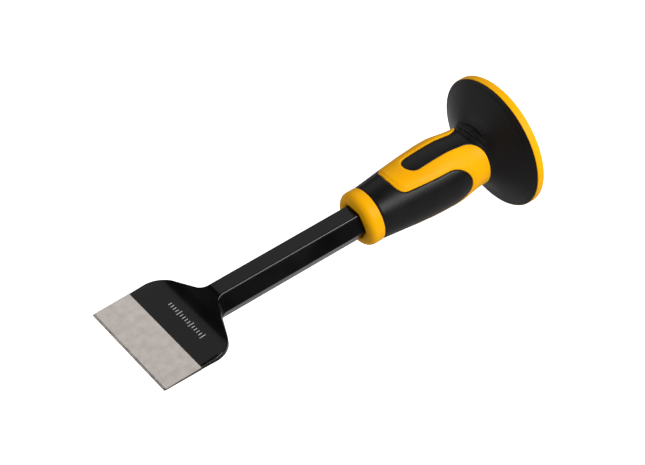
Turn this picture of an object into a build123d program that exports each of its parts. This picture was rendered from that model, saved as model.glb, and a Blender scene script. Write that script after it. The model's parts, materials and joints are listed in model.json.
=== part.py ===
from build123d import *
from build123d.topology import SkipClean

import os
from math import atan2, cos, radians, sin, tan

# A wide brick chisel (bolster) with a hand guard.  Millimetres.
# The sizes named _x are distances along the tool's own axis, from the cutting edge at 0 to
# the struck end at overall_length.  The tool lies on its blade and on the rim of its guard,
# so its axis climbs a little towards the head, and the sketches stand on planes that are
# tilted with it: plan looks on the blade's face, side looks along the cutting edge.

# --- steel: blade, shank and head, one forging ---
overall_length = 279.0
blade_width = 76.0
edge_facet_length = 1.3
edge_facet_half_thickness = 0.55
grind_length = 25.0
grind_half_thickness = 1.05
blade_back_x = 45.2
blade_corner_radius = 16.0
waist_x = 57.0
waist_half_width = 11.0
waist_fillet = 7.0
waist_end_x = 68.0
waist_end_inset = 0.5
ramp_start_x = 47.0
ramp_start_half_thickness = 2.2
ramp_end_x = 61.0
ramp_foot_radius = 12.0
ramp_top_radius = 5.0
shank_root_x = 50.0
shank_across_flats = 19.0
head_chamfer = 2.4
bare_shank_gap = 1.0

# --- hard core of the grip: collar, band and flange ---
collar_front_x = 160.0
collar_rear_x = 170.0
collar_radius = 17.5
collar_round = 5.0
collar_rear_round = 0.25
collar_least_face = 0.4
bore_clearance = 0.12
bore_mouth_chamfer = 0.8
band_front_x = 184.8
rim_front_x = 266.2
rim_rear_x = 271.6
rim_radius = 43.5
rim_rear_round = 1.4
dish_floor_x = 262.0
dish_floor_radius = 15.0
dish_mouth_radius = 39.8

# --- soft black skin, set into the core ---
skin_depth = 2.0
skin_start_step = 0.3
skin_start_angle = 6.0
belly_x = 224.0
belly_radius = 21.6
neck_x = 246.5
neck_radius = 19.1
flare_x = 256.0
flare_radius = 25.6
flare_angle = 56.0
lip_x = 264.7
lip_radius = 41.2
lip_angle = 63.0
lip_outer_radius = 43.2
seat_radius = 38.4
seat_angle = 60.0

# --- where the two soft pieces reach into the band ---
tongue_half_width = 7.1
tongue_tip_x = 198.5
tongue_root_x = 249.0
tongue_root_fillet = 11.0
lobe_half_height = 14.35
lobe_tip_x = 235.0
lobe_root_fillet = 6.5

# --- thumb grooves across the neck, fading out round its sides ---
groove_count = 3
groove_start = 1.0
groove_pitch = 3.2
groove_radius = 1.0
groove_ring_margin = 2.45
groove_ring_drop = 2.57
groove_climb = 0.4

bare_shank_end_x = collar_front_x - bare_shank_gap
shank_half = shank_across_flats / 2
shank_flat_half_width = shank_half * tan(radians(30))
waist_end_half_width = shank_flat_half_width - waist_end_inset
mouth_corner = (shank_half + bore_clearance + bore_mouth_chamfer) / cos(radians(30))
collar_front_round = min(collar_round, collar_radius - mouth_corner - collar_least_face)
skin_start_radius = collar_radius - skin_start_step
reach = 2 * rim_radius

# The lower corner of the edge facet and the front edge of the guard's rim touch the floor.
# The origin is on the floor, half way between the cutting edge and the head's lowest corner.
tilt = atan2(rim_radius - edge_facet_half_thickness, rim_front_x - edge_facet_length)
head_low_corner = shank_half - head_chamfer
head_reach = overall_length * cos(tilt) + head_low_corner * sin(tilt)
edge_height = edge_facet_half_thickness * cos(tilt) - edge_facet_length * sin(tilt)
edge_middle = (-head_reach / 2, 0, edge_height)
along_tool = (cos(tilt), 0, sin(tilt))
plan = Plane(edge_middle, x_dir=along_tool, z_dir=(-sin(tilt), 0, cos(tilt)))
side = Plane(edge_middle, x_dir=along_tool, z_dir=(0, -1, 0))
end = Plane(edge_middle, x_dir=(0, 1, 0), z_dir=along_tool)
tool_axis = Axis(edge_middle, along_tool)

os.makedirs("parts", exist_ok=True)


def heading(angle):
    """A unit step along the grip's outline, leaning away from the axis by an angle."""
    return (cos(radians(angle)), sin(radians(angle)))


def skin_line(depth, last_point, last_angle):
    """The grip's outline from the collar to the guard, moved in by a depth."""
    flare = radians(flare_angle)
    stations = [
        ((collar_rear_x, skin_start_radius - depth), skin_start_angle),
        ((belly_x, belly_radius - depth), 0),
        ((neck_x, neck_radius - depth), 0),
        ((flare_x + depth * sin(flare), flare_radius - depth * cos(flare)), flare_angle),
        (last_point, last_angle),
    ]
    points = [point for point, _ in stations]
    return Spline(*points, tangents=[heading(angle) for _, angle in stations])


def skin_outside():
    return skin_line(0, (lip_x, lip_radius), lip_angle)


def skin_inside():
    return skin_line(skin_depth, (rim_front_x, seat_radius), seat_angle)


def skin_section():
    """Half section of the soft skin, from the floor of its recess to its surface."""
    with BuildSketch(side) as section:
        with BuildLine():
            outside = skin_outside()
            inside = skin_inside()
            Polyline(outside @ 1, (rim_front_x, lip_outer_radius), inside @ 1)
            Line(inside @ 0, outside @ 0)
        make_face()
    return section.sketch


def recess_section():
    """Half section of everything outside the floor of the recess."""
    with BuildSketch(side) as section:
        with BuildLine():
            inside = skin_inside()
            Polyline(inside @ 1, (rim_front_x, reach), (collar_rear_x, reach), inside @ 0)
        make_face()
    return section.sketch


def front_zone():
    """Seen from the blade's side: the front sleeve, with a round-ended lobe running back."""
    lobe_round_x = lobe_tip_x - lobe_half_height
    with BuildSketch(side) as zone:
        with Locations((band_front_x, 0)):
            Rectangle(reach, 2 * reach, align=(Align.MAX, Align.CENTER))
            Rectangle(
                lobe_round_x - band_front_x,
                2 * lobe_half_height,
                align=(Align.MIN, Align.CENTER),
            )
        with Locations((lobe_round_x, 0)):
            Circle(lobe_half_height)
        roots = zone.vertices().filter_by_position(Axis.X, band_front_x, band_front_x)
        fillet(roots.filter_by_position(Axis.Y, -lobe_half_height, lobe_half_height), lobe_root_fillet)
    return zone.sketch


def rear_zone():
    """Seen on the blade's face: the neck and guard, with a round-ended tongue running forward."""
    tongue_round_x = tongue_tip_x + tongue_half_width
    with BuildSketch(plan) as zone:
        with Locations((tongue_root_x, 0)):
            Rectangle(reach, 2 * reach, align=(Align.MIN, Align.CENTER))
            Rectangle(
                tongue_root_x - tongue_round_x,
                2 * tongue_half_width,
                align=(Align.MAX, Align.CENTER),
            )
        with Locations((tongue_round_x, 0)):
            Circle(tongue_half_width)
        roots = zone.vertices().filter_by_position(Axis.X, tongue_root_x, tongue_root_x)
        fillet(roots.filter_by_position(Axis.Y, -tongue_half_width, tongue_half_width), tongue_root_fillet)
    return zone.sketch


# The rear of the bar, inside the grip, with the struck head at its end.  It joins the bare
# shank last and is not merged into its faces, so the bare flats, where a vice can hold the
# tool, end just in front of the collar and are faces of their own.
with BuildPart() as gripped_bar:
    with BuildSketch(end.offset(bare_shank_end_x)):
        RegularPolygon(shank_half, 6, major_radius=False)
    extrude(amount=overall_length - bare_shank_end_x)
    head_face = gripped_bar.faces().sort_by(tool_axis)[-1]
    chamfer(head_face.edges(), head_chamfer)

# Chisel body: one steel forging.  A six-sided bar spreads at its end into the wide blade,
# which is ground on both faces to a cutting edge.  Its far end is the struck head.
with BuildPart() as chisel_body:
    with BuildSketch(plan) as blade_plan:
        with BuildLine():
            right_side = Polyline(
                (0, 0),
                (0, blade_width / 2),
                (blade_back_x, blade_width / 2),
                (waist_x, waist_half_width),
                (waist_end_x, waist_end_half_width),
                (waist_end_x, 0),
            )
            mirror(right_side, about=Plane.XZ)
        make_face()
        corners = blade_plan.vertices()
        fillet(corners.filter_by_position(Axis.X, blade_back_x, blade_back_x), blade_corner_radius)
        corners = blade_plan.vertices()
        fillet(corners.filter_by_position(Axis.X, waist_x, waist_x), waist_fillet)
    extrude(amount=shank_half, both=True)
    with BuildSketch(end.offset(shank_root_x)):
        RegularPolygon(shank_half, 6, major_radius=False)
    extrude(amount=bare_shank_end_x - shank_root_x)
    with BuildSketch(side) as side_section:
        with BuildLine():
            top_side = Polyline(
                (0, 0),
                (edge_facet_length, edge_facet_half_thickness),
                (grind_length, grind_half_thickness),
                (ramp_start_x, ramp_start_half_thickness),
                (ramp_end_x, shank_half),
                (bare_shank_end_x, shank_half),
                (bare_shank_end_x, 0),
            )
            mirror(top_side, about=Plane.XZ)
        make_face()
        corners = side_section.vertices()
        fillet(corners.filter_by_position(Axis.X, ramp_start_x, ramp_start_x), ramp_foot_radius)
        corners = side_section.vertices()
        fillet(corners.filter_by_position(Axis.X, ramp_end_x, ramp_end_x), ramp_top_radius)
    extrude(amount=blade_width, both=True, mode=Mode.INTERSECT)
    with SkipClean():
        add(gripped_bar.part, clean=False)

# Front grip: the soft black sleeve behind the collar, with a lobe on each side.
with BuildPart() as front_grip:
    revolve(skin_section(), axis=tool_axis)
    extrude(front_zone(), amount=reach, both=True, mode=Mode.INTERSECT)

# The cutter for the thumb grooves: rings whose centre lies below the axis, so that each
# groove is deepest at the top of the neck and runs out before it reaches the sides.
groove_axis = Axis(plan.from_local_coords((0, 0, -groove_ring_drop)), along_tool)
with BuildPart() as thumb_grooves:
    for step in range(groove_count):
        groove_x = neck_x - groove_start + step * groove_pitch
        ring_radius = neck_radius + groove_ring_margin + groove_climb * step**2
        with BuildSketch(side) as groove:
            with Locations((groove_x, ring_radius - groove_ring_drop)):
                Circle(groove_radius)
        revolve(axis=groove_axis)

# Rear grip: the soft black neck and guard, with a tongue along the top and the bottom.
with BuildPart() as rear_grip:
    revolve(skin_section(), axis=tool_axis)
    extrude(rear_zone(), amount=reach, both=True, mode=Mode.INTERSECT)
    add(thumb_grooves.part, mode=Mode.SUBTRACT)
    add(mirror(thumb_grooves.part, about=plan, mode=Mode.PRIVATE), mode=Mode.SUBTRACT)

# The two recesses that the soft pieces fill, cut right out through the core's surface.
with BuildPart() as front_recess:
    revolve(recess_section(), axis=tool_axis)
    extrude(front_zone(), amount=reach, both=True, mode=Mode.INTERSECT)

with BuildPart() as rear_recess:
    revolve(recess_section(), axis=tool_axis)
    extrude(rear_zone(), amount=reach, both=True, mode=Mode.INTERSECT)

# Grip core: the hard yellow moulding that is pressed on the six-sided shank.  It shows as
# the collar, as the band that winds between the soft pieces, and as the rim of the guard.
with BuildPart() as grip_core:
    with BuildSketch(side) as core_section:
        with BuildLine():
            outside = skin_outside()
            Polyline(
                outside @ 0,
                (collar_rear_x, collar_radius),
                (collar_front_x, collar_radius),
                (collar_front_x, 0),
                (dish_floor_x, 0),
                (dish_floor_x, dish_floor_radius),
                (rim_rear_x, dish_mouth_radius),
                (rim_rear_x, rim_radius),
                (rim_front_x, rim_radius),
                (rim_front_x, lip_outer_radius),
                outside @ 1,
            )
        make_face()
        corners = core_section.vertices()
        fillet(corners.sort_by_distance((collar_front_x, collar_radius))[0], collar_front_round)
        corners = core_section.vertices()
        fillet(corners.sort_by_distance((collar_rear_x, collar_radius))[0], collar_rear_round)
        corners = core_section.vertices()
        fillet(corners.sort_by_distance((rim_rear_x, rim_radius))[0], rim_rear_round)
    revolve(axis=tool_axis)
    with BuildSketch(end.offset(collar_front_x)):
        RegularPolygon(shank_half + bore_clearance, 6, major_radius=False)
    extrude(amount=overall_length, mode=Mode.SUBTRACT)
    mouth = grip_core.faces().sort_by(tool_axis)[0].inner_wires()[0]
    chamfer(mouth.edges(), bore_mouth_chamfer)
    add(front_recess.part, mode=Mode.SUBTRACT)
    add(rear_recess.part, mode=Mode.SUBTRACT)

chisel_body.part.label = "chisel_body"
export_step(chisel_body.part, "parts/chisel_body.step")
grip_core.part.label = "grip_core"
export_step(grip_core.part, "parts/grip_core.step")
front_grip.part.label = "front_grip"
export_step(front_grip.part, "parts/front_grip.step")
rear_grip.part.label = "rear_grip"
export_step(rear_grip.part, "parts/rear_grip.step")
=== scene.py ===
import json
from math import cos, pi, radians, sin, tan

import bmesh
import bpy
import numpy as np
from mathutils import Matrix, Vector
from mathutils.geometry import delaunay_2d_cdt


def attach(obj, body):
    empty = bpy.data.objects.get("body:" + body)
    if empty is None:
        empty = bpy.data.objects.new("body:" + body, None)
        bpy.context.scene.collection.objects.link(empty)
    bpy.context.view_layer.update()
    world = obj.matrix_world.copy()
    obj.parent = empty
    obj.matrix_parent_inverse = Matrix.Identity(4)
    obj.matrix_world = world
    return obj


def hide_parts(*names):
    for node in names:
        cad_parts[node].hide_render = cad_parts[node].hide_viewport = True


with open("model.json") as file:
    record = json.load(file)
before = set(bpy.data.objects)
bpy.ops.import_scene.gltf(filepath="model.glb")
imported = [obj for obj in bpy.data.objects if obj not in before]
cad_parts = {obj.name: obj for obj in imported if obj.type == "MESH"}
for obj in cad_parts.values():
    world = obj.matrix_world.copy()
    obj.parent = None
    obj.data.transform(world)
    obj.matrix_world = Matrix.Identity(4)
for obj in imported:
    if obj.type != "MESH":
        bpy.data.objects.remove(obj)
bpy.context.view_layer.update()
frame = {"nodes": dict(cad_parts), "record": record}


# ---------------------------------------------------------------------------------------------
# Chisel body.  One steel forging: a six-sided bar spread at one end into a wide blade.  It is
# dipped in gloss black paint, and then both faces are ground back to bare steel at the edge.
# ---------------------------------------------------------------------------------------------

# Every piece is drawn in the tool's own frame, in millimetres: x from the cutting edge towards
# the struck head, y across the blade, z square to the blade's face.
mounts = {mount["name"]: mount for mount in frame["record"]["mounts"]}
edge_middle = Vector(mounts["cutting_edge"]["pos_m"])
along_tool = -Vector(mounts["cutting_edge"]["axis"])
blade_face = Vector(mounts["shank_upper_flat"]["axis"])
across_blade = blade_face.cross(along_tool)
overall_length = 1000 * (Vector(mounts["striking_face"]["pos_m"]) - edge_middle).dot(along_tool)
tool_to_row = Matrix.Translation(edge_middle) @ Matrix(
    (along_tool, across_blade, blade_face)).transposed().to_4x4() @ Matrix.Scale(0.001, 4)


def tool_box(node):
    """The lowest and highest corner of a CAD node in the tool's frame, in millimetres."""
    row_to_tool = tool_to_row.inverted()
    corners = np.array([row_to_tool @ vertex.co for vertex in frame["nodes"][node].data.vertices])
    return Vector(corners.min(0)), Vector(corners.max(0))


def make_piece(name, points, faces, materials, face_materials=None, sharp_angle=35):
    """A mesh piece from points in the tool's frame, smooth but for edges sharper than an angle."""
    mesh = bpy.data.meshes.new(name)
    mesh.from_pydata([tuple(point) for point in points], [], [tuple(face) for face in faces])
    mesh.transform(tool_to_row)
    for material in materials:
        mesh.materials.append(material)
    if face_materials is not None:
        mesh.polygons.foreach_set("material_index", np.asarray(face_materials, dtype=np.int32))
    build = bmesh.new()
    build.from_mesh(mesh)
    bmesh.ops.remove_doubles(build, verts=build.verts, dist=1e-7)
    bmesh.ops.recalc_face_normals(build, faces=build.faces)
    build.to_mesh(mesh)
    build.free()
    mesh.polygons.foreach_set("use_smooth", [True] * len(mesh.polygons))
    mesh.set_sharp_from_angle(angle=radians(sharp_angle))
    piece = bpy.data.objects.new(name, mesh)
    bpy.context.scene.collection.objects.link(piece)
    return piece


def node_group(name, inputs, outputs):
    """An empty shader group with named sockets, and its input and output nodes."""
    group = bpy.data.node_groups.new(name, "ShaderNodeTree")
    for label, kind, default in inputs:
        socket = group.interface.new_socket(label, in_out="INPUT", socket_type=kind)
        if default is not None:
            socket.default_value = default
    for label, kind in outputs:
        group.interface.new_socket(label, in_out="OUTPUT", socket_type=kind)
    return group, group.nodes.new("NodeGroupInput"), group.nodes.new("NodeGroupOutput")


def math_node(tree, operation, *values):
    """A Math node whose inputs are numbers or other nodes' outputs."""
    node = tree.nodes.new("ShaderNodeMath")
    node.operation = operation
    for socket, value in zip(node.inputs, values):
        if isinstance(value, (int, float)):
            socket.default_value = value
        else:
            tree.links.new(value, socket)
    return node.outputs[0]


def make_grain():
    """Fine skin of a moulded, sprayed or ground surface: a small height and a slow mottle."""
    group, given, result = node_group(
        "surface_grain",
        [("Grain coordinates", "NodeSocketVector", None),
         ("Mottle coordinates", "NodeSocketVector", None),
         ("Grains per metre", "NodeSocketFloat", 1500.0),
         ("Mottles per metre", "NodeSocketFloat", 60.0)],
        [("Height", "NodeSocketFloat"), ("Mottle", "NodeSocketFloat")])
    for label, where, source, detail in (
            ("Height", "Grain coordinates", "Grains per metre", 3.0),
            ("Mottle", "Mottle coordinates", "Mottles per metre", 4.0)):
        noise = group.nodes.new("ShaderNodeTexNoise")
        noise.inputs["Detail"].default_value = detail
        group.links.new(given.outputs[where], noise.inputs["Vector"])
        group.links.new(given.outputs[source], noise.inputs["Scale"])
        group.links.new(noise.outputs["Fac"], result.inputs[label])
    return group


def make_mottle_range():
    """Spreads a mottle over a range from one value to another, and keeps it inside the range."""
    mottle_low, mottle_high = 0.3, 0.7
    group, given, result = node_group(
        "mottle_range",
        [("Mottle", "NodeSocketFloat", 0.5), ("From", "NodeSocketFloat", 0.3),
         ("To", "NodeSocketFloat", 0.5)],
        [("Value", "NodeSocketFloat")])
    spread = group.nodes.new("ShaderNodeMapRange")
    spread.inputs["From Min"].default_value = mottle_low
    spread.inputs["From Max"].default_value = mottle_high
    group.links.new(given.outputs["Mottle"], spread.inputs["Value"])
    group.links.new(given.outputs["From"], spread.inputs["To Min"])
    group.links.new(given.outputs["To"], spread.inputs["To Max"])
    group.links.new(spread.outputs[0], result.inputs["Value"])
    return group


def make_edge_highlight_and_rub():
    """A mask of sharp outer edges, taken from how sharply the surface turns: a painted edge
    highlight along with a little wear.
    """
    group, given, result = node_group(
        "edge_highlight_and_rub",
        [("Mottle", "NodeSocketFloat", 0.5), ("Onset", "NodeSocketFloat", 0.54),
         ("Full", "NodeSocketFloat", 0.62), ("Amount", "NodeSocketFloat", 0.4)],
        [("Mask", "NodeSocketFloat")])
    turn = group.nodes.new("ShaderNodeNewGeometry")
    edge = group.nodes.new("ShaderNodeMapRange")
    group.links.new(turn.outputs["Pointiness"], edge.inputs["Value"])
    group.links.new(given.outputs["Onset"], edge.inputs["From Min"])
    group.links.new(given.outputs["Full"], edge.inputs["From Max"])
    broken = math_node(group, "MULTIPLY", edge.outputs[0], given.outputs["Mottle"])
    mask = math_node(group, "MULTIPLY", broken, given.outputs["Amount"])
    group.links.new(mask, result.inputs["Mask"])
    return group


grain_group = make_grain()
mottle_range_group = make_mottle_range()
edge_highlight_and_rub_group = make_edge_highlight_and_rub()


def make_finish(name, dark, light, roughness, grains, mottles, bump, edge_highlight_and_rub_colour, edge_highlight_and_rub_amount=0.4,
                stretch=(1, 1, 1), fixed=()):
    """A surface whose colour and roughness wander, with a fine grain, and its sharp edges given an
    edge colour: a painted edge highlight along with a little wear.
    """
    material = bpy.data.materials.new(name)
    material.use_nodes = True
    tree = material.node_tree
    shader = tree.nodes["Principled BSDF"]
    coordinates = tree.nodes.new("ShaderNodeTexCoord")
    turned = tree.nodes.new("ShaderNodeMapping")
    turned.inputs["Rotation"].default_value = tool_to_row.inverted().to_euler()
    tree.links.new(coordinates.outputs["Object"], turned.inputs["Vector"])
    drawn_out = tree.nodes.new("ShaderNodeMapping")
    drawn_out.inputs["Scale"].default_value = stretch
    tree.links.new(turned.outputs[0], drawn_out.inputs["Vector"])
    grain = tree.nodes.new("ShaderNodeGroup")
    grain.node_tree = grain_group
    grain.inputs["Grains per metre"].default_value = grains
    grain.inputs["Mottles per metre"].default_value = mottles
    tree.links.new(drawn_out.outputs[0], grain.inputs["Grain coordinates"])
    tree.links.new(turned.outputs[0], grain.inputs["Mottle coordinates"])
    colour = tree.nodes.new("ShaderNodeMix")
    colour.data_type = "RGBA"
    colour.inputs["A"].default_value = (*dark, 1)
    colour.inputs["B"].default_value = (*light, 1)
    colour_range = tree.nodes.new("ShaderNodeGroup")
    colour_range.node_tree = mottle_range_group
    colour_range.inputs["From"].default_value, colour_range.inputs["To"].default_value = 0.0, 1.0
    tree.links.new(grain.outputs["Mottle"], colour_range.inputs["Mottle"])
    tree.links.new(colour_range.outputs["Value"], colour.inputs["Factor"])
    # Sharp edges take the edge colour, which paints a highlight along them together with a little
    # wear.
    highlight_and_rub_mask = tree.nodes.new("ShaderNodeGroup")
    highlight_and_rub_mask.node_tree = edge_highlight_and_rub_group
    highlight_and_rub_mask.inputs["Amount"].default_value = edge_highlight_and_rub_amount
    tree.links.new(grain.outputs["Mottle"], highlight_and_rub_mask.inputs["Mottle"])
    highlight_and_rub_mix = tree.nodes.new("ShaderNodeMix")
    highlight_and_rub_mix.data_type = "RGBA"
    highlight_and_rub_mix.inputs["B"].default_value = (*edge_highlight_and_rub_colour, 1)
    tree.links.new(highlight_and_rub_mask.outputs["Mask"], highlight_and_rub_mix.inputs["Factor"])
    tree.links.new(colour.outputs["Result"], highlight_and_rub_mix.inputs["A"])
    tree.links.new(highlight_and_rub_mix.outputs["Result"], shader.inputs["Base Color"])
    gloss_range = tree.nodes.new("ShaderNodeGroup")
    gloss_range.node_tree = mottle_range_group
    gloss_range.inputs["From"].default_value, gloss_range.inputs["To"].default_value = roughness
    tree.links.new(grain.outputs["Mottle"], gloss_range.inputs["Mottle"])
    tree.links.new(gloss_range.outputs["Value"], shader.inputs["Roughness"])
    relief = tree.nodes.new("ShaderNodeBump")
    relief.inputs["Strength"].default_value = 1.0
    relief.inputs["Distance"].default_value = bump
    tree.links.new(grain.outputs["Height"], relief.inputs["Height"])
    tree.links.new(relief.outputs["Normal"], shader.inputs["Normal"])
    for label, value in fixed:
        shader.inputs[label].default_value = value
    return material


# The edge colours below are lighter than each finish: a painted highlight on sharp edges, along
# with a little wear.
black_paint = make_finish(
    "black_gloss_paint", (0.0015, 0.0015, 0.0017), (0.0038, 0.0036, 0.0037), (0.17, 0.24),
    grains=420, mottles=45, bump=0.000006, edge_highlight_and_rub_colour=(0.05, 0.05, 0.052),
    fixed=(("Specular IOR Level", 0.17), ("Coat Weight", 0.04), ("Coat Roughness", 0.08)))
ground_steel = make_finish(
    "ground_steel", (0.53, 0.475, 0.435), (0.77, 0.71, 0.665), (0.34, 0.46),
    grains=1500, mottles=210, bump=0.000016, edge_highlight_and_rub_colour=(0.75, 0.72, 0.69), stretch=(0.10, 1, 1),
    fixed=(("Metallic", 1.0),))
forge_scale = make_finish(
    "forge_scale", (0.10, 0.092, 0.085), (0.19, 0.175, 0.16), (0.42, 0.6),
    grains=1100, mottles=260, bump=0.00003, edge_highlight_and_rub_colour=(0.4, 0.37, 0.35),
    fixed=(("Metallic", 0.8),))
steel_slot, scale_slot, paint_slot = range(3)

blade_half_width = tool_box("chisel_body")[1].y
blade_back, blade_corner_round = 45.2, 16.0
waist, waist_round = 57.0, 7.0
shank_middle = [Vector(mounts[name]["pos_m"]) for name in ("shank_upper_flat", "shank_lower_flat")]
shank_half = 500 * (shank_middle[0] - shank_middle[1]).length
shank_corner = shank_half / cos(radians(30))
facet_slope = tan(radians(60))
honed_length, honed_half = 1.3, 0.55
ground_length, ground_half = 25.0, 1.05
ramp_foot, ramp_foot_half = 47.0, 2.2
ramp_top = 61.0
ramp_foot_blend, ramp_top_blend = 2.4, 1.0
ramp_blend_reach = 4
wall_fade_start, wall_fade_end = 48, 60
cutting_edge_half = 0.06
paint_edge_blend, ground_edge_blend = 0.45, 0.12
corner_blunt = 0.25
side_scale_width = 0.2
head_chamfer = 2.4


def corner_arc(before, corner, after, radius, steps):
    """Points of the arc that rounds a corner between two straight runs."""
    before, corner, after = Vector(before), Vector(corner), Vector(after)
    to_before, to_after = (before - corner).normalized(), (after - corner).normalized()
    half_angle = to_before.angle(to_after) / 2
    centre = corner + (to_before + to_after).normalized() * (radius / sin(half_angle))
    reach = radius / tan(half_angle)
    start, finish = corner + to_before * reach - centre, corner + to_after * reach - centre
    turn = start.angle_signed(finish)
    return [centre + Matrix.Rotation(-turn * step / steps, 2) @ start for step in range(steps + 1)]


def soft_min(a, b, blend):
    """The lower of two heights, with the crease between them rounded."""
    near = np.maximum(blend - np.abs(a - b), 0) / blend
    return np.minimum(a, b) - near * near * blend / 4


def soft_step(x, start, finish):
    """Rises smoothly from 0 at the start to 1 at the finish."""
    t = np.clip((x - start) / (finish - start), 0, 1)
    return t * t * (3 - 2 * t)


def ring_faces(ring_count, ring_size, closed):
    """Faces between neighbouring rings of points.  Closed joins the last ring to the first."""
    skin = []
    for row in range(ring_count if closed else ring_count - 1):
        row_after = (row + 1) % ring_count
        for column in range(ring_size):
            beside = (column + 1) % ring_size
            skin.append((row * ring_size + column, row * ring_size + beside,
                         row_after * ring_size + beside, row_after * ring_size + column))
    return skin


def even_steps(line, step):
    """The same line with its points about a step apart, and its ends kept."""
    gaps = np.hypot(*np.diff(line, axis=0).T)
    travelled = np.concatenate(([0], np.cumsum(gaps)))
    wanted = np.linspace(0, travelled[-1], max(2, int(travelled[-1] / step)) + 1)
    return np.column_stack([np.interp(wanted, travelled, line[:, axis]) for axis in (0, 1)])


# The outline of one side: (x, half width), from the cutting edge to the struck head.  Stations
# stand closer together where the ground face ends, round the waist and at the head's chamfer.
# The first one is a hair behind the cutting edge, so that the mesh stays inside the part's box.
blade_corner, waist_corner = (blade_back, blade_half_width), (waist, shank_corner)
arc_steps, waist_step = 60, 0.4
first_station, beside_ground_line, before_chamfer = 0.02, 0.04, 0.05
curve = corner_arc((0, blade_half_width), blade_corner, waist_corner, blade_corner_round,
                   arc_steps)
curve += corner_arc(blade_corner, waist_corner, (overall_length, shank_corner), waist_round,
                    arc_steps)
curve += [(x, shank_corner) for x in (64, 66, 68, 70)]
outline = [(x, blade_half_width)
           for x in (first_station, 0.6, 1.2, honed_length, 1.4, 3, 8, 14, 20)]
outline += [(ground_length + x, blade_half_width)
            for x in (-beside_ground_line, 0, beside_ground_line, 1, 2.5)]
outline += even_steps(np.array([tuple(point) for point in curve]), waist_step).tolist()
outline += [(x, shank_corner) for x in (80, 110, 150, 200, 250)]
outline += [(overall_length - head_chamfer - before_chamfer, shank_corner)]
outline += [(overall_length - head_chamfer * share, shank_corner)
            for share in (1.0, 0.97, 0.5, 0.06, 0.0)]
face_shares, bevel_shares = (0, 0.2, 0.4, 0.6, 0.8, 0.93, 1), (0, 0.12, 0.3, 0.5, 0.7, 0.9, 1)
wall_shares = (0.5, 0.0, -0.5)


def blade_half_thickness(x):
    """Half the thickness of the blade: honed edge, ground face, then the painted taper."""
    taper_end_half = (ramp_foot_half + (ramp_foot_half - ground_half) * (ramp_top - ramp_foot)
                      / (ramp_foot - ground_length))
    return np.interp(x, [0, honed_length, ground_length, ramp_foot, ramp_top],
                     [cutting_edge_half, honed_half, ground_half, ramp_foot_half, taper_end_half])


def body_ring(x, half_width):
    """One cross-section: the top from one side to the other, the wall, and the underside."""
    taper = 1 - max(0.0, x - (overall_length - head_chamfer)) / shank_half
    ramp = (ramp_foot_half
            + (x - ramp_foot) * (shank_half - ramp_foot_half) / (ramp_top - ramp_foot))
    climb = soft_min(ramp, shank_half, ramp_top_blend)
    thickness = float(blade_half_thickness(min(x, ramp_top)))
    top = thickness
    if x > ramp_foot - ramp_blend_reach:
        top = -soft_min(-thickness, -climb, ramp_foot_blend)
    in_shank = soft_step(x, wall_fade_start, wall_fade_end)
    edge_blend = ground_edge_blend if x <= ground_length else paint_edge_blend
    wall = max(thickness - edge_blend, thickness * 0.5) * (1 - in_shank) + corner_blunt * in_shank
    width = half_width - in_shank * corner_blunt / facet_slope
    break_y = width - (top - wall) / facet_slope
    near = min(edge_blend, 0.6 * (width - break_y))
    crease = 2 * edge_blend * min(1.0, (top - wall) / (2 * edge_blend) + 0.1)
    # The columns stand closer together at the break between the flat and the bevel.
    columns = [share * (break_y - near) for share in face_shares]
    columns += [break_y - near * 0.5, break_y, break_y + near * 0.5]
    columns += [break_y + near + share * (width - break_y - near) for share in bevel_shares]
    half = []
    for y in columns:
        side = (width - y) * facet_slope + wall
        half.append((y * taper, soft_min(top, side, crease) * taper))
    walls = [(width * taper, wall * taper * share) for share in wall_shares]
    under = [(y, -z) for y, z in reversed(half)]
    loop = half + walls + under
    mirrored = [(-y, z) for y, z in reversed(loop[1:-1])]
    return [(x, y, z) for y, z in loop + mirrored]


rings = [body_ring(float(x), float(half_width)) for x, half_width in outline]
ring_size = len(rings[0])
body_points = [point for ring in rings for point in ring]
body_faces = ring_faces(len(rings), ring_size, closed=False)
body_faces.append(tuple(range(ring_size)))
body_faces.append(tuple((len(rings) - 1) * ring_size + column for column in range(ring_size)))


def finish_of(face):
    """Ground faces are bright, their narrow sides keep the forge's scale, the rest is painted."""
    middle = np.mean([body_points[index] for index in face], axis=0)
    if middle[0] > ground_length:
        return paint_slot
    return scale_slot if abs(middle[1]) > blade_half_width - side_scale_width else steel_slot


chisel = make_piece("chisel_body_forging", body_points, body_faces,
                    (ground_steel, forge_scale, black_paint),
                    [finish_of(face) for face in body_faces], sharp_angle=28)
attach(chisel, "root")
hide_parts("chisel_body")


# ---------------------------------------------------------------------------------------------
# Blade marks.  A row of plain ticks in pale ink, pad-printed on the painted face of the blade
# beside the ground bevel.  Every fifth tick is longer.
# ---------------------------------------------------------------------------------------------
tick_count, tick_pitch = 15, 2.4
tick_width, tick_short, tick_long = 0.55, 2.4, 4.2
ink_thickness, ink_proud_share = 0.03, 0.3
ticks_x, ticks_middle_y = 38.4, -2.5

mark_ink = make_finish(
    "pale_print", (0.42, 0.42, 0.45), (0.64, 0.64, 0.68), (0.45, 0.6), grains=2600, mottles=300,
    bump=0.000004, edge_highlight_and_rub_colour=(0.3, 0.3, 0.32))


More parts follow.
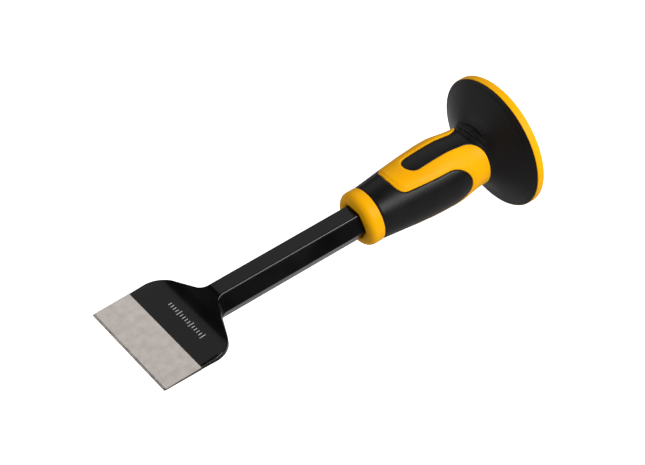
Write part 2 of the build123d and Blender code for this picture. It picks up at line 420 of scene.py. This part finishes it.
def make_tick_tree():
    """Geometry nodes: a line of bars, with each fifth one stretched."""
    tree = bpy.data.node_groups.new("tick_row", "GeometryNodeTree")
    for label, kind, default in (
            ("Count", "NodeSocketInt", 10), ("Pitch", "NodeSocketFloat", 1.0),
            ("Width", "NodeSocketFloat", 0.5), ("Short", "NodeSocketFloat", 2.0),
            ("Long", "NodeSocketFloat", 4.0), ("Thickness", "NodeSocketFloat", 0.03)):
        tree.interface.new_socket(label, in_out="INPUT", socket_type=kind).default_value = default
    tree.interface.new_socket("Ink", in_out="INPUT", socket_type="NodeSocketMaterial")
    tree.interface.new_socket("Geometry", in_out="OUTPUT", socket_type="NodeSocketGeometry")
    given, result = tree.nodes.new("NodeGroupInput"), tree.nodes.new("NodeGroupOutput")
    line = tree.nodes.new("GeometryNodeMeshLine")
    step = tree.nodes.new("ShaderNodeCombineXYZ")
    bar = tree.nodes.new("GeometryNodeMeshCube")
    bar_size = tree.nodes.new("ShaderNodeCombineXYZ")
    index = tree.nodes.new("GeometryNodeInputIndex")
    long_every = 5.0
    remainder = math_node(tree, "MODULO", index.outputs[0], long_every)
    is_long = math_node(tree, "LESS_THAN", remainder, 0.5)
    ratio = math_node(tree, "DIVIDE", given.outputs["Long"], given.outputs["Short"])
    extra = math_node(tree, "SUBTRACT", ratio, 1.0)
    stretch = math_node(tree, "MULTIPLY_ADD", is_long, extra, 1.0)
    scale = tree.nodes.new("ShaderNodeCombineXYZ")
    scale.inputs[1].default_value = scale.inputs[2].default_value = 1.0
    copies = tree.nodes.new("GeometryNodeInstanceOnPoints")
    real = tree.nodes.new("GeometryNodeRealizeInstances")
    inked = tree.nodes.new("GeometryNodeSetMaterial")
    for source, target in (
            (given.outputs["Count"], line.inputs["Count"]),
            (given.outputs["Pitch"], step.inputs[1]),
            (step.outputs[0], line.inputs["Offset"]),
            (given.outputs["Short"], bar_size.inputs[0]),
            (given.outputs["Width"], bar_size.inputs[1]),
            (given.outputs["Thickness"], bar_size.inputs[2]),
            (bar_size.outputs[0], bar.inputs["Size"]),
            (line.outputs[0], copies.inputs["Points"]),
            (bar.outputs["Mesh"], copies.inputs["Instance"]),
            (stretch, scale.inputs[0]),
            (scale.outputs[0], copies.inputs["Scale"]),
            (copies.outputs[0], real.inputs[0]),
            (real.outputs[0], inked.inputs["Geometry"]),
            (given.outputs["Ink"], inked.inputs["Material"]),
            (inked.outputs[0], result.inputs[0])):
        tree.links.new(source, target)
    return tree


def run_nodes(name, tree, values):
    """A plain mesh made by a geometry node tree with the given inputs."""
    carrier = bpy.data.objects.new(name, bpy.data.meshes.new(name))
    bpy.context.scene.collection.objects.link(carrier)
    modifier = carrier.modifiers.new("nodes", "NODES")
    modifier.node_group = tree
    sockets = {item.name: item.identifier
               for item in tree.interface.items_tree if item.in_out == "INPUT"}
    for label, value in values.items():
        modifier[sockets[label]] = value
    bpy.context.view_layer.update()
    evaluated = carrier.evaluated_get(bpy.context.evaluated_depsgraph_get())
    mesh = bpy.data.meshes.new_from_object(evaluated)
    carrier.modifiers.remove(modifier)
    carrier.data = mesh
    return carrier


ticks = run_nodes("blade_tick_marks", make_tick_tree(), {
    "Count": tick_count, "Pitch": tick_pitch, "Width": tick_width, "Short": tick_short,
    "Long": tick_long, "Thickness": ink_thickness, "Ink": mark_ink})
face_tilt = (ramp_foot_half - ground_half) / (ramp_foot - ground_length)
seat = Matrix.Translation((ticks_x, ticks_middle_y - (tick_count - 1) * tick_pitch / 2,
                           float(blade_half_thickness(ticks_x)) + ink_thickness * ink_proud_share))
ticks.data.transform(tool_to_row @ seat @ Matrix.Rotation(-face_tilt, 4, "Y"))
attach(ticks, "root")


# ---------------------------------------------------------------------------------------------
# Grip core.  One hard yellow moulding pressed on the bar.  It shows as the round-edged collar,
# the raised band that winds round the grip and the rim behind the guard, with a dish at the back.
# ---------------------------------------------------------------------------------------------
# The edge colour is a paler yellow: a painted highlight on sharp edges, along with a little wear.
yellow_plastic = make_finish(
    "yellow_plastic", (0.91, 0.405, 0.0004), (0.97, 0.455, 0.0008), (0.42, 0.52), grains=1300,
    mottles=35, bump=0.000010, edge_highlight_and_rub_colour=(0.97, 0.58, 0.04), edge_highlight_and_rub_amount=0.3,
    fixed=(("Specular IOR Level", 0.08),))

core_box, sleeve_box = tool_box("grip_core"), tool_box("front_grip")
guard_box = tool_box("rear_grip")
collar_front, collar_rear = core_box[0].x, sleeve_box[0].x
collar_radius, collar_round = 17.5, 5.0
collar_rear_round = 0.25
bore_half, bore_mouth = 9.62, 0.8
rim_front, rim_rear, rim_radius = guard_box[1].x, core_box[1].x, core_box[1].y
rim_rear_round, rim_front_round = 1.4, 0.4
lip_outer = guard_box[1].y
seat_radius, seat_inset = 38.4, 0.3
recess_foot, recess_foot_radius = 259.0, 27.5
dish_floor, dish_floor_radius, dish_mouth_radius = 262.0, 15.0, 39.8
skin_depth = 2.0
around = 192
profile_x = (collar_rear, 224.0, 246.5, 256.0, 264.7)
profile_radius = (17.2, sleeve_box[1].y, 19.1, 25.6, 41.2)
profile_slope = (tan(radians(6)), 0.0, 0.0, tan(radians(56)), tan(radians(63)))


def grip_radius(x):
    """The grip's outline from the collar to the guard's lip: smooth runs between its stations."""
    x = np.clip(np.asarray(x, dtype=float), profile_x[0], profile_x[-1])
    span = np.clip(np.searchsorted(profile_x, x, side="right") - 1, 0, len(profile_x) - 2)
    start, finish = np.take(profile_x, span), np.take(profile_x, span + 1)
    length = finish - start
    t = (x - start) / length
    return ((2 * t**3 - 3 * t**2 + 1) * np.take(profile_radius, span)
            + (t**3 - 2 * t**2 + t) * length * np.take(profile_slope, span)
            + (3 * t**2 - 2 * t**3) * np.take(profile_radius, span + 1)
            + (t**3 - t**2) * length * np.take(profile_slope, span + 1))


def hexagon(angle, half):
    """The radius of a six-sided hole with flats towards the blade's faces."""
    return half / cos((angle - radians(90) + radians(30)) % radians(60) - radians(30))


def quarter(x, radius, size, first, last, steps):
    """Stations (x, radius) of a rounded edge about a centre, between two angles in degrees."""
    return [(x + size * cos(radians(first + (last - first) * k / steps)),
             radius + size * sin(radians(first + (last - first) * k / steps)))
            for k in range(steps + 1)]


def round_stations(line):
    """Stations of a round part of the core, from (x, radius) pairs."""
    return [(x, radius, False) for x, radius in line]


# Each station is (x, radius, six-sided), from the bore's mouth out over the collar and back.
stations = [(collar_front + bore_mouth, bore_half, True),
            (collar_front, bore_half + bore_mouth, True)]
stations += round_stations(quarter(
    collar_front + collar_round, collar_radius - collar_round, collar_round, 180, 90, steps=14))
stations += round_stations(quarter(
    collar_rear - collar_rear_round, collar_radius - collar_rear_round, collar_rear_round,
    90, 0, steps=4))
# Under the soft pieces the core is a plain wall, one skin's depth below the grip's outline.
wall_first, wall_last, wall_stations = 175, 252, 16
stations += round_stations(
    (x, float(grip_radius(x)) - skin_depth)
    for x in (collar_rear, *np.linspace(wall_first, wall_last, wall_stations)))
stations += round_stations([(recess_foot, recess_foot_radius), (rim_front, seat_radius),
                            (rim_front, lip_outer - seat_inset)])
stations += round_stations(quarter(
    rim_front + rim_front_round, rim_radius - rim_front_round, rim_front_round, 180, 90, steps=4))
stations += round_stations(quarter(
    rim_rear - rim_rear_round, rim_radius - rim_rear_round, rim_rear_round, 90, 0, steps=6))
# The dish: a broken corner at its mouth, a straight slope, a broken corner at its floor, and
# a small chamfer where the bore comes out.
dish_slope = (rim_rear - dish_floor) / (dish_mouth_radius - dish_floor_radius)
bore_chamfer = 0.3
stations += round_stations([(rim_rear, dish_mouth_radius + 0.4),
                            (rim_rear - 0.3, dish_mouth_radius - 0.2)])
stations += round_stations((dish_floor + dish_slope * (radius - dish_floor_radius), radius)
                           for radius in (36, 30, 24, 18, 16))
stations += round_stations([(dish_floor + 0.1, dish_floor_radius),
                            (dish_floor, dish_floor_radius - 0.6)])
stations += [(dish_floor, bore_half + bore_chamfer, True),
             (dish_floor - bore_chamfer, bore_half, True)]

core_points = []
for x, radius, six_sided in stations:
    for step in range(around):
        angle = 2 * pi * step / around
        reach = hexagon(angle, radius) if six_sided else radius
        core_points.append((x, reach * cos(angle), reach * sin(angle)))
core_faces = ring_faces(len(stations), around, closed=True)


# The skin of the grip is drawn unrolled, as distance along the outline by distance round it.
# Two border lines part it: the front sleeve's lobes run back, the rear grip's tongues forward.
band_front, lobe_half, lobe_tip, lobe_root_round = 184.8, 14.35, sleeve_box[1].x, 6.5
tongue_root, tongue_half, tongue_tip, tongue_root_round = 249.0, 7.1, guard_box[0].x, 11.0
unroll_radius = 20.0
full_turn = 2 * pi * unroll_radius
border_step = 0.55
past_the_grip = 40

profile_count = 2000
profile_steps = np.linspace(collar_rear, profile_x[-1], profile_count)
profile_line = grip_radius(profile_steps)
profile_gaps = np.hypot(np.diff(profile_steps), np.diff(profile_line))
run_length = np.concatenate(([0], np.cumsum(profile_gaps)))


def run_at(x):
    """Distance along the outline from the collar's rear edge to a place on the axis."""
    return np.interp(x, profile_steps, run_length)


def x_at(run):
    """Place on the axis for a distance along the outline."""
    return np.interp(run, run_length, profile_steps)


def lobe_quarter():
    """The front border from the top line to the side line: (x, height over the axis)."""
    root = corner_arc((band_front, past_the_grip), (band_front, lobe_half), (lobe_tip, lobe_half),
                      lobe_root_round, 14)
    path = [(p.x, p.y) for p in root]
    path += [(x, lobe_half) for x in np.arange(path[-1][0] + 1, lobe_tip - lobe_half, 1.0)]
    path += [(lobe_tip - lobe_half + lobe_half * sin(t), lobe_half * cos(t))
             for t in np.linspace(0, pi / 2, 24)]
    return path


def tongue_quarter():
    """The rear border from the side line to the top line: (x, offset across the blade)."""
    root = corner_arc((tongue_root, past_the_grip), (tongue_root, tongue_half),
                      (tongue_tip, tongue_half), tongue_root_round, 18)
    path = [(p.x, p.y) for p in root]
    path += [(x, tongue_half) for x in np.arange(path[-1][0] - 1, tongue_tip + tongue_half, -1.0)]
    path += [(tongue_tip + tongue_half - tongue_half * sin(t), tongue_half * cos(t))
             for t in np.linspace(0, pi / 2, 14)]
    return path


def wrap_quarter(path, from_side):
    """Border points as (run, angle) over one quarter, from the side line to the top line."""
    on_grip = []
    for x, offset in path:
        share = offset / float(grip_radius(x))
        if share < 1:
            angle = np.arccos(share) if from_side else np.arcsin(share)
            on_grip.append((float(run_at(x)), float(angle)))
    on_grip.insert(0, (float(run_at(path[0][0])), 0.0 if from_side else pi / 2))
    return on_grip if from_side else on_grip[::-1]


def all_round(quarter_line):
    """Four mirrored quarters make one closed border, cut at the side line."""
    line = np.array(quarter_line)
    back = line[::-1][1:]
    mirrored = np.column_stack((back[:, 0], pi - back[:, 1]))
    half = np.vstack((line, mirrored))
    low = np.column_stack((half[::-1][1:, 0], 2 * pi - half[::-1][1:, 1]))
    closed = np.vstack((half, low))
    return np.column_stack((closed[:, 0], closed[:, 1] * unroll_radius))


front_border = even_steps(all_round(wrap_quarter(lobe_quarter(), False)), border_step)
rear_border = even_steps(all_round(wrap_quarter(tongue_quarter(), True)), border_step)


def distance_to(line, places):
    """How far each unrolled place lies from a border line, with the ends of the turn joined."""
    batch = 2000
    scale = grip_radius(x_at(places[:, 0])) / unroll_radius
    best = np.full(len(places), np.inf)
    for shift in (-full_turn, 0, full_turn):
        for first in range(0, len(places), batch):
            chosen = slice(first, first + batch)
            run = places[chosen, None, 0] - line[None, :, 0]
            turn = (places[chosen, None, 1] - line[None, :, 1] - shift) * scale[chosen, None]
            best[chosen] = np.minimum(best[chosen], np.sqrt((run**2 + turn**2).min(1)))
    return best


# Rows of points fill the skin.  They stand closer over the thumb grooves and at the lip.
last_run = float(run_length[-1])
groove_zone = (242, 256)
lip_zone = 4
plain_step, groove_step, lip_step, neck_step_round = 1.0, 0.42, 0.4, 0.7
runs = np.concatenate((np.arange(0, run_at(groove_zone[0]), plain_step),
                       np.arange(run_at(groove_zone[0]), run_at(groove_zone[1]), groove_step),
                       np.arange(run_at(groove_zone[1]), last_run - lip_zone, plain_step),
                       np.arange(last_run - lip_zone, last_run, lip_step)))
spots = []
for run in runs:
    count = int(full_turn / (plain_step if x_at(run) < groove_zone[0] else neck_step_round))
    spots.append(np.column_stack((np.full(count + 1, run), np.linspace(0, full_turn, count + 1))))
spots = np.vstack(spots)
border_clearance = 0.5
from_borders = np.minimum(distance_to(front_border, spots), distance_to(rear_border, spots))
spots = spots[from_borders > border_clearance]


def offset_rows(line, distances):
    """Lines that follow a border on both of its sides, so that its edges can be rounded."""
    ahead, behind = np.roll(line, -1, 0), np.roll(line, 1, 0)
    ahead[-1], behind[0] = line[1] + (0, full_turn), line[-2] - (0, full_turn)
    heading = ahead - behind
    across = np.column_stack((-heading[:, 1], heading[:, 0]))
    across /= np.hypot(*across.T)[:, None]
    return np.vstack([line + across * distance for distance in distances])


margin_width, crease_half = 1.9, 0.34
beside_border, closest_to_border = 0.25, 0.18
crease_stray, crease_clearance, seam_clearance = 0.05, 0.3, 0.2
near_rows = np.vstack([offset_rows(line, (-beside_border, beside_border))
                       for line in (front_border, rear_border)])
clear = np.minimum(distance_to(front_border, near_rows), distance_to(rear_border, near_rows))
near_rows = near_rows[clear > closest_to_border]
crease_offsets = [side * (margin_width + step * crease_half)
                  for side in (-1, 1) for step in (-1, 0, 1)]
crease_rows = offset_rows(front_border, crease_offsets)
from_crease = np.abs(distance_to(front_border, crease_rows) - margin_width)
crease_rows = crease_rows[(from_crease <= crease_half + crease_stray)
                          & (distance_to(rear_border, crease_rows) > border_clearance)]
near_rows = np.vstack((near_rows, crease_rows))
near_rows = near_rows[(near_rows[:, 1] > seam_clearance)
                      & (near_rows[:, 1] < full_turn - seam_clearance)]
from_crease = np.abs(distance_to(front_border, spots) - margin_width)
spots = spots[from_crease > crease_half + crease_clearance]
lip_turns = np.linspace(0, full_turn, int(full_turn / neck_step_round) + 1)
last_row = np.column_stack((np.full(len(lip_turns), last_run), lip_turns))
flat_points = np.vstack((front_border, rear_border, last_row, near_rows, spots))
count_front, count_rear = len(front_border), len(rear_border)
fixed_edges = [(k, k + 1) for k in range(count_front - 1)]
fixed_edges += [(count_front + k, count_front + k + 1) for k in range(count_rear - 1)]
merge_distance = 1e-5
flat_vertices, _, flat_faces, _, _, _ = delaunay_2d_cdt(
    [Vector(place) for place in flat_points.tolist()], fixed_edges, [], 0, merge_distance)
flat = np.array([tuple(vertex) for vertex in flat_vertices])
flat_faces = np.array(flat_faces)


def ahead_of(line, places):
    """True where a place lies between the collar and a border line, by counting crossings."""
    count = np.zeros(len(places), dtype=int)
    for start, finish in zip(line[:-1], line[1:]):
        low, high = min(start[1], finish[1]), max(start[1], finish[1])
        within = (places[:, 1] >= low) & (places[:, 1] < high)
        share = (places[:, 1] - start[1]) / (finish[1] - start[1] if finish[1] != start[1] else 1)
        count += within & (start[0] + share * (finish[0] - start[0]) > places[:, 0])
    return count % 2 == 1


middles = flat[flat_faces].mean(1)
in_front = ahead_of(front_border, middles)
in_rear = ~ahead_of(rear_border, middles)

to_front, to_rear = distance_to(front_border, flat), distance_to(rear_border, flat)
flat_x = x_at(flat[:, 0])
flat_angle = flat[:, 1] / unroll_radius
base_radius = grip_radius(flat_x)
flat_slope = np.interp(flat_x, profile_steps, np.gradient(profile_line, profile_steps))
lean = np.column_stack((-flat_slope, np.ones(len(flat))))
lean /= np.hypot(*lean.T)[:, None]


def wrapped(lift):
    """Unrolled spots back on the grip, each lifted square to the surface by its own height."""
    x = flat_x + lean[:, 0] * lift
    radius = base_radius + lean[:, 1] * lift
    return np.column_stack((x, radius * np.cos(flat_angle), radius * np.sin(flat_angle)))


def shell(chosen, lift, depth):
    """The faces of one piece of the skin, given a wall of its own inwards."""
    used, compact = np.unique(flat_faces[chosen], return_inverse=True)
    outer = wrapped(lift)[used]
    inner = wrapped(lift * 0 - depth)[used]
    triangles = compact.reshape(-1, 3)
    sides = np.vstack((triangles[:, (0, 1)], triangles[:, (1, 2)], triangles[:, (2, 0)]))
    sides = dict.fromkeys((a, b) for a, b in sides.tolist())
    turn = flat[used][:, 1]
    seam_tolerance = 1e-4
    on_seam = np.minimum(np.abs(turn), np.abs(turn - full_turn)) < seam_tolerance
    open_sides = [(a, b) for a, b in sides
                  if (b, a) not in sides and not (on_seam[a] and on_seam[b])]
    count = len(used)
    shell_faces = [tuple(t) for t in triangles.tolist()]
    shell_faces += [(c + count, b + count, a + count) for a, b, c in triangles.tolist()]
    shell_faces += [(b, a, a + count, b + count) for a, b in open_sides]
    return np.vstack((outer, inner)), shell_faces


def join_shells(points, faces, more_points, more_faces):
    """Two shells as one set of points and faces."""
    start = len(points)
    return (np.vstack((np.array(points), np.array(more_points))),
            faces + [tuple(index + start for index in face) for face in more_faces])


def rounded_edge(distance, width, drop):
    """The height lost towards a border: nothing at a width from it, and the full drop at it."""
    t = np.clip(1 - distance / width, 0, 1)
    return -drop * t * t


# The band stands a little proud.  Beside the sleeve a sloped margin runs up to a crease, and
# beside the tongue its edge is simply rounded.
band_rise, margin_drop, crease_cut = 0.48, 0.75, 0.4
band_underlap = 0.05
band_lift = band_rise - margin_drop * np.clip(1 - to_front / margin_width, 0, 1)
band_lift -= crease_cut * np.exp(-((to_front - margin_width) / crease_half) ** 2)
band_lift += rounded_edge(to_rear, width=0.9, drop=0.35)
band_lift += rounded_edge(to_front, width=0.4, drop=0.2)
band_shell = shell(~in_front & ~in_rear, band_lift, skin_depth + band_underlap)
core_points, core_faces = join_shells(core_points, core_faces, *band_shell)
core = make_piece("grip_core_moulding", core_points, core_faces, (yellow_plastic,), sharp_angle=50)
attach(core, "root")
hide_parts("grip_core")


# ---------------------------------------------------------------------------------------------
# Front grip.  The soft black sleeve behind the collar, moulded over the core into a recess.  A
# round-ended lobe on each side reaches back into the band.
# ---------------------------------------------------------------------------------------------
# The edge colour is a lighter grey than the rubber: a painted highlight on sharp edges, along with
# a little wear.
soft_black = make_finish(
    "soft_black_grip", (0.0048, 0.0043, 0.0045), (0.0095, 0.0084, 0.0086), (0.34, 0.44),
    grains=1700, mottles=40, bump=0.000014, edge_highlight_and_rub_colour=(0.045, 0.042, 0.042), edge_highlight_and_rub_amount=0.5,
    fixed=(("Specular IOR Level", 0.15),))

sleeve_floor_gap = 0.03
sleeve_lift = rounded_edge(to_front, width=0.7, drop=0.35)
sleeve_lift += rounded_edge(flat[:, 0], width=0.8, drop=0.4)
sleeve_points, sleeve_faces = shell(in_front, sleeve_lift, skin_depth - sleeve_floor_gap)
sleeve = make_piece("front_grip_sleeve", sleeve_points, sleeve_faces, (soft_black,),
                    sharp_angle=50)
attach(sleeve, "root")
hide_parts("front_grip")


# ---------------------------------------------------------------------------------------------
# Rear grip.  The soft black neck and flared guard in one piece with a tongue along the top and
# the bottom.  Three thumb grooves cross the neck, and a crease runs inside the guard's lip.
# ---------------------------------------------------------------------------------------------
tongue_sink, tongue_sink_start, tongue_sink_end = 0.35, 236, 246
groove_middles, groove_bows = (244.6, 248.1, 251.5), (3.4, 2.0, 0.2)
groove_reach, groove_width, groove_depth, groove_fade = 41.0, 0.72, 1.15, 0.7
crease_from_lip, crease_width, crease_depth = 0.5, 0.5, 0.75

rear_lift = rounded_edge(to_rear, width=0.7, drop=0.3)
rear_lift -= tongue_sink * (1 - soft_step(flat_x, tongue_sink_start, tongue_sink_end))
for top_or_bottom in (90, 270):
    share = (np.degrees(flat_angle) - top_or_bottom) / groove_reach
    for middle, bow in zip(groove_middles, groove_bows):
        away = (run_at(flat_x) - run_at(middle + bow * share**2)) / groove_width
        rear_lift -= groove_depth * np.exp(-away**2) * np.clip(1 - share**2, 0, 1) ** groove_fade
from_lip = last_run - flat[:, 0]
rear_lift -= crease_depth * np.exp(-((from_lip - crease_from_lip) / crease_width) ** 2)
rear_points, rear_faces = shell(in_rear, rear_lift, skin_depth)

# The lip rolls outwards from the end of the flare and meets the yellow rim behind it.
flare_end, flare_end_radius = profile_x[-1], profile_radius[-1]
lip_stations, lip_roll, lip_gap = 9, 0.9, 0.02
lip_root_behind, lip_root_below = 1.2, 0.4
lip = [(flare_end + (rim_front - flare_end - lip_gap) * share,
        flare_end_radius + (lip_outer - flare_end_radius) * sin(share * pi / 2) ** lip_roll)
       for share in np.linspace(0, 1, lip_stations)]
lip += [(rim_front - lip_gap, seat_radius),
        (flare_end - lip_root_behind, seat_radius - lip_root_below)]
lip_points = [(x, radius * cos(2 * pi * k / around), radius * sin(2 * pi * k / around))
              for x, radius in lip for k in range(around)]
rear_points, rear_faces = join_shells(rear_points, rear_faces, lip_points,
                                      ring_faces(len(lip), around, closed=True))
rear = make_piece("rear_grip_and_guard", rear_points, rear_faces, (soft_black,), sharp_angle=50)
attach(rear, "root")
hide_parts("rear_grip")


# ---------------------------------------------------------------------------------------------
# Studio.  A white light table and backdrop that the camera sees evenly bright, with large soft
# lights to the right, behind and to the left, and the camera.
# ---------------------------------------------------------------------------------------------
floor_half = 3.0
table_seen, table_cast = 1.25, 0.26
backdrop_seen, backdrop_cast = 1.0, 0.08
floor_mesh = bpy.data.meshes.new("floor")
floor_mesh.from_pydata([(-floor_half, -floor_half, 0), (floor_half, -floor_half, 0),
                        (floor_half, floor_half, 0), (-floor_half, floor_half, 0)],
                       [], [(0, 1, 2, 3)])
floor = bpy.data.objects.new("floor", floor_mesh)
bpy.context.scene.collection.objects.link(floor)
table_top = bpy.data.materials.new("light_table")
table_top.use_nodes = True
top_nodes = table_top.node_tree
top_shader = top_nodes.nodes["Principled BSDF"]
top_shader.inputs["Base Color"].default_value = (0.3, 0.3, 0.3, 1)
top_shader.inputs["Roughness"].default_value = 0.9
top_shader.inputs["Emission Color"].default_value = (1, 1, 1, 1)
top_rays = top_nodes.nodes.new("ShaderNodeLightPath")
top_glow = math_node(top_nodes, "MULTIPLY_ADD", top_rays.outputs["Is Camera Ray"],
                     table_seen - table_cast, table_cast)
top_nodes.links.new(top_glow, top_shader.inputs["Emission Strength"])
floor_mesh.materials.append(table_top)


def soft_light(name, heading, distance, width, height, power):
    """A rectangular soft light at a distance from the tool, facing it."""
    light = bpy.data.lights.new(name, "AREA")
    light.shape, light.size, light.size_y, light.energy = "RECTANGLE", width, height, power
    lamp = bpy.data.objects.new(name, light)
    lamp.location = Vector(heading).normalized() * distance
    lamp.rotation_euler = (-lamp.location).to_track_quat("-Z", "Y").to_euler()
    bpy.context.scene.collection.objects.link(lamp)


soft_light("light_right", heading=(0.30, -0.68, 0.67), distance=1.6,
           width=0.8, height=0.7, power=28)
soft_light("light_behind", heading=(0.27, 0.62, 0.74), distance=1.6,
           width=1.5, height=1.2, power=5.2)
soft_light("light_left", heading=(-0.80, 0.58, 0.20), distance=1.5,
           width=1.6, height=1.0, power=8)
world = bpy.data.worlds.new("studio")
world.use_nodes = True
world_nodes = world.node_tree
background = world_nodes.nodes["Background"]
background.inputs["Color"].default_value = (1, 1, 1, 1)
world_rays = world_nodes.nodes.new("ShaderNodeLightPath")
backdrop = math_node(world_nodes, "MULTIPLY_ADD", world_rays.outputs["Is Camera Ray"],
                     backdrop_seen - backdrop_cast, backdrop_cast)
world_nodes.links.new(backdrop, background.inputs["Strength"])
bpy.context.scene.world = world
bpy.context.scene.view_settings.view_transform = "Standard"

camera = bpy.data.cameras.new("camera")
camera.sensor_width = 36.0
camera.lens = 107.19
camera_object = bpy.data.objects.new("camera", camera)
camera_object.location = (-0.55321, -0.69422, 0.7255)
camera_object.rotation_euler = (0.90274, -0.04451, -0.63449)
bpy.context.scene.collection.objects.link(camera_object)
bpy.context.scene.camera = camera_object
